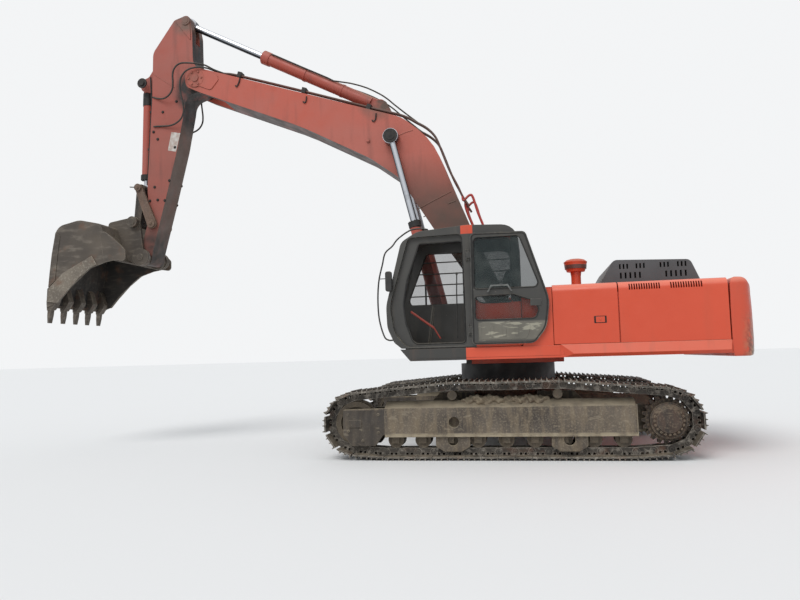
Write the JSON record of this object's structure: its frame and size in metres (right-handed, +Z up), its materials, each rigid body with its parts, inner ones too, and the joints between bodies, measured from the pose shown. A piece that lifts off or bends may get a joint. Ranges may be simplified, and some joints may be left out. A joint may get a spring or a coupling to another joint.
{
  "type": "crawler excavator",
  "caption": "Full-size crawler excavator with two steel tracks, slewing upper structure, cab, boom, arm and toothed bucket on hydraulic cylinders.",
  "frame": {"origin": "slew axis where it meets the ground", "axes": "+X forward along the tracks and the boom, +Y to the driver's left, +Z up"},
  "size_m": [10.976, 3.19, 7.2879],
  "materials": {
    "undercarriage_dusty": "matt, caked with dust",
    "track_steel": "worn steel, dusty",
    "bearing_steel": "greasy steel",
    "frame_paint": "dark grey paint, satin",
    "glass": "clear, dusty",
    "seat_fabric": "woven",
    "console_plastic": "grained",
    "orange_paint": "orange-red paint, sun-bleached gloss",
    "hood_paint": "grey paint, satin",
    "engine_paint": "sooty",
    "faded_paint": "faded orange paint",
    "pipe_paint": "black paint",
    "chrome_rod": "polished",
    "worn_steel": "scraped steel, rust and dust"
  },
  "bodies": {
    "root": {"carbody": "undercarriage_dusty", "slew_bearing": "bearing_steel", "track_frame_left": "undercarriage_dusty", "track_frame_right": "undercarriage_dusty", "track_left": "track_steel", "track_right": "track_steel", "sprocket_left": "undercarriage_dusty", "sprocket_right": "undercarriage_dusty", "idler_left": "undercarriage_dusty", "idler_right": "undercarriage_dusty", "rollers_left": "undercarriage_dusty", "rollers_right": "undercarriage_dusty"},
    "upper": {"revolving_frame": "frame_paint", "cab_shell": "frame_paint", "cab_glass": "glass", "seat": "seat_fabric", "consoles": "console_plastic", "housing_left": "orange_paint", "housing_right": "orange_paint", "counterweight": "orange_paint", "engine": "engine_paint", "precleaner": "orange_paint", "handrails": "frame_paint"},
    "cab_door": {"cab_door": "frame_paint", "cab_door_glass": "glass"},
    "left_front_door": {"left_front_door": "orange_paint"},
    "left_rear_door": {"left_rear_door": "orange_paint"},
    "right_rear_door": {"right_rear_door": "orange_paint"},
    "hood": {"hood": "hood_paint"},
    "boom": {"boom": "faded_paint", "boom_pipes": "pipe_paint"},
    "boom_barrels": {"boom_barrels": "faded_paint"},
    "boom_rods": {"boom_rods": "chrome_rod"},
    "arm_barrel": {"arm_barrel": "faded_paint"},
    "arm_rod": {"arm_rod": "chrome_rod"},
    "arm": {"arm": "faded_paint", "arm_pipes": "pipe_paint"},
    "bucket_barrel": {"bucket_barrel": "faded_paint"},
    "bucket_rod": {"bucket_rod": "chrome_rod"},
    "rocker": {"rocker": "worn_steel"},
    "push_link": {"push_link": "worn_steel"},
    "bucket": {"bucket": "worn_steel"}
  },
  "joints": [
    {"name": "slew", "type": "hinge", "parent": "root", "child": "upper", "pos_m": [0, 0, 1.2], "axis": [0, 0, 1], "continuous": true},
    {"name": "boom_lift", "type": "hinge", "parent": "upper", "child": "boom", "pos_m": [0.03, 0, 2.03], "axis": [0, -1, 0], "range_deg": [-84, 20]},
    {"name": "boom_barrels_swing", "type": "hinge", "parent": "upper", "child": "boom_barrels", "pos_m": [0.85, 0, 1.485], "axis": [0, -1, 0], "range_deg": [-92.83, 22.33]},
    {"name": "boom_rods_slide", "type": "slide", "parent": "boom_barrels", "child": "boom_rods", "axis": [0.2322, 0, 0.9727], "range_m": [-1.198, 0.287]},
    {"name": "arm_swing", "type": "hinge", "parent": "boom", "child": "arm", "pos_m": [4.965, 0, 6.105], "axis": [0, 1, 0], "range_deg": [-75, 33]},
    {"name": "arm_barrel_swing", "type": "hinge", "parent": "boom", "child": "arm_barrel", "pos_m": [1.868, 0, 5.409], "axis": [0, -1, 0], "range_deg": [-1.31, 2.59]},
    {"name": "arm_rod_slide", "type": "slide", "parent": "arm_barrel", "child": "arm_rod", "axis": [0.8824, 0, 0.4706], "range_m": [-1.244, 0.548]},
    {"name": "bucket_curl", "type": "hinge", "parent": "arm", "child": "bucket", "pos_m": [5.95, 0, 3.135], "axis": [0, 1, 0], "range_deg": [0, 145]},
    {"name": "bucket_barrel_swing", "type": "hinge", "parent": "arm", "child": "bucket_barrel", "pos_m": [6, 0, 6.165], "axis": [0, 1, 0], "range_deg": [-2.29, 0.3]},
    {"name": "bucket_rod_slide", "type": "slide", "parent": "bucket_barrel", "child": "bucket_rod", "axis": [0.0219, 0, -0.9998], "range_m": [-0.002, 1.224]},
    {"name": "rocker_swing", "type": "hinge", "parent": "arm", "child": "rocker", "pos_m": [5.796, 0, 3.705], "axis": [0, 1, 0], "range_deg": [-0.3, 128]},
    {"name": "push_link_swing", "type": "hinge", "parent": "rocker", "child": "push_link", "pos_m": [6.04, 0, 4.335], "axis": [0, 1, 0], "range_deg": [-121.08, 0.3]},
    {"name": "cab_door_hinge", "type": "hinge", "parent": "upper", "child": "cab_door", "pos_m": [0.43, 1.51, 2.2], "axis": [0, 0, -1], "range_deg": [0, 180]},
    {"name": "left_front_door_hinge", "type": "hinge", "parent": "upper", "child": "left_front_door", "pos_m": [-0.667, 1.497, 1.85], "axis": [0, 0, -1], "range_deg": [0, 85]},
    {"name": "left_rear_door_hinge", "type": "hinge", "parent": "upper", "child": "left_rear_door", "pos_m": [-2.796, 1.497, 1.85], "axis": [0, 0, 1], "range_deg": [0, 85]},
    {"name": "right_rear_door_hinge", "type": "hinge", "parent": "upper", "child": "right_rear_door", "pos_m": [-2.796, -1.497, 1.85], "axis": [0, 0, -1], "range_deg": [0, 85]},
    {"name": "hood_hinge", "type": "hinge", "parent": "upper", "child": "hood", "pos_m": [-2.8, 0, 2.275], "axis": [0, -1, 0], "range_deg": [0, 65]}
  ],
  "couplings": [
    {"joint": "boom_barrels_swing", "follows": "boom_lift", "ratio": 1.08},
    {"joint": "boom_rods_slide", "follows": "boom_lift", "m_per_rad": 0.8},
    {"joint": "arm_barrel_swing", "follows": "arm_swing", "ratio": -0.03},
    {"joint": "arm_rod_slide", "follows": "arm_swing", "m_per_rad": 0.93},
    {"joint": "bucket_barrel_swing", "follows": "bucket_curl", "ratio": -0.01345},
    {"joint": "bucket_rod_slide", "follows": "bucket_curl", "m_per_rad": 0.4734},
    {"joint": "rocker_swing", "follows": "bucket_curl", "ratio": 0.8634},
    {"joint": "push_link_swing", "follows": "bucket_curl", "ratio": -0.8166}
  ]
}
